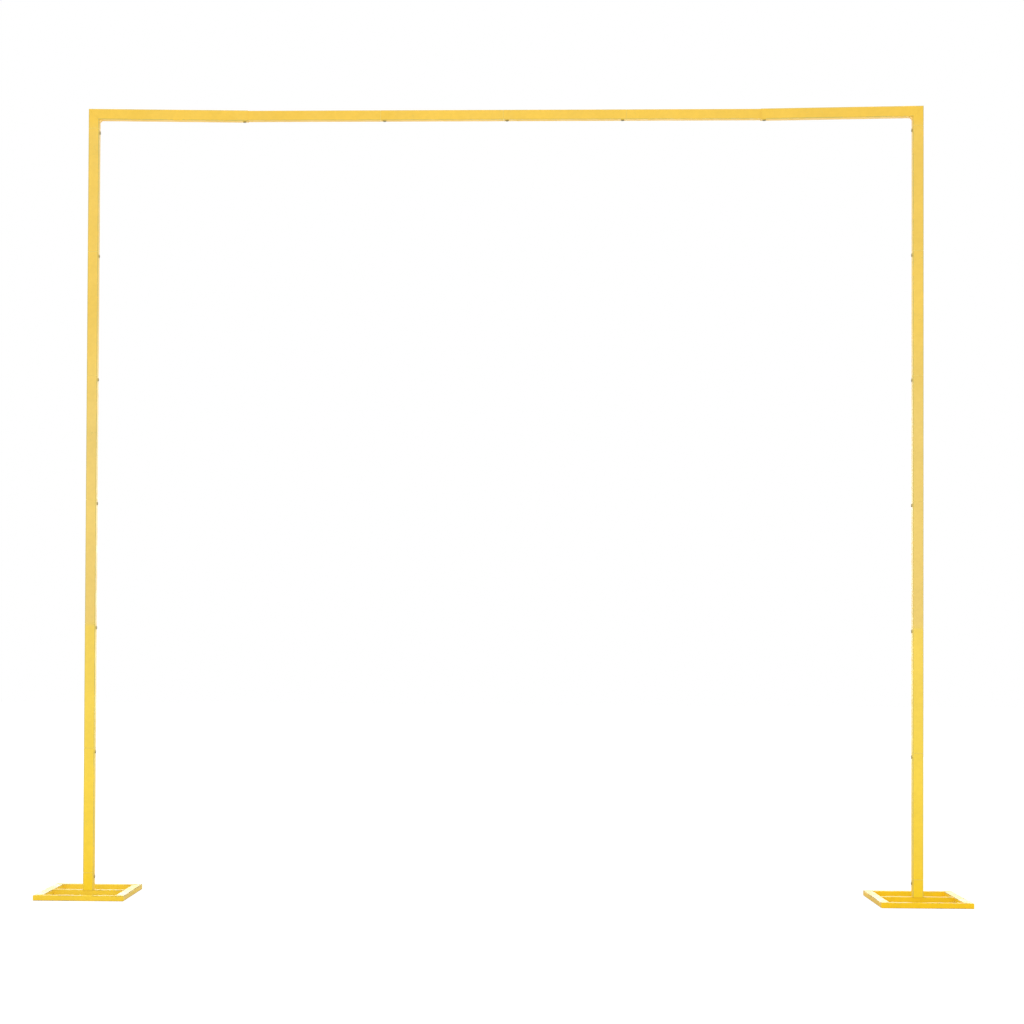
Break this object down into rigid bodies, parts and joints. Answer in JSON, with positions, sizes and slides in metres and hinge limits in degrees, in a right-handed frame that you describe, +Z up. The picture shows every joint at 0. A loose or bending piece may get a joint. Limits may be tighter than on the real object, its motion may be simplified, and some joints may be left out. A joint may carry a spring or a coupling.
{
  "type": "wedding arch",
  "caption": "Free-standing gate-shaped arch of gold-painted square steel tubes, plugged and screwed together, on two flat welded bar feet.",
  "frame": {"origin": "on the floor, midway between the two feet, in the plane of the frame", "axes": "+X along the width to the right seen from the front, +Y towards the back, +Z up"},
  "size_m": [3.282, 0.45, 2.84],
  "materials": {
    "frame_gold": "satin",
    "foot_gold": "satin",
    "screw_steel": "blackened"
  },
  "bodies": {
    "root": {"left_foot_front_bar": "foot_gold", "left_foot_rear_bar": "foot_gold", "left_foot_outer_bar": "foot_gold", "left_foot_inner_bar": "foot_gold", "left_foot_middle_bar": "foot_gold", "left_foot_socket": "frame_gold", "left_post_tube_1": "frame_gold", "left_post_tube_2": "frame_gold", "left_post_tube_3": "frame_gold", "left_post_tube_4": "frame_gold", "left_post_tube_5": "frame_gold", "left_post_tube_6": "frame_gold", "left_elbow": "frame_gold", "right_foot_front_bar": "foot_gold", "right_foot_rear_bar": "foot_gold", "right_foot_outer_bar": "foot_gold", "right_foot_inner_bar": "foot_gold", "right_foot_middle_bar": "foot_gold", "right_foot_socket": "frame_gold", "right_post_tube_1": "frame_gold", "right_post_tube_2": "frame_gold", "right_post_tube_3": "frame_gold", "right_post_tube_4": "frame_gold", "right_post_tube_5": "frame_gold", "right_post_tube_6": "frame_gold", "right_elbow": "frame_gold", "bar_tube_1": "frame_gold", "bar_tube_2": "frame_gold", "bar_tube_3": "frame_gold", "bar_tube_4": "frame_gold"}
  },
  "joints": []
}
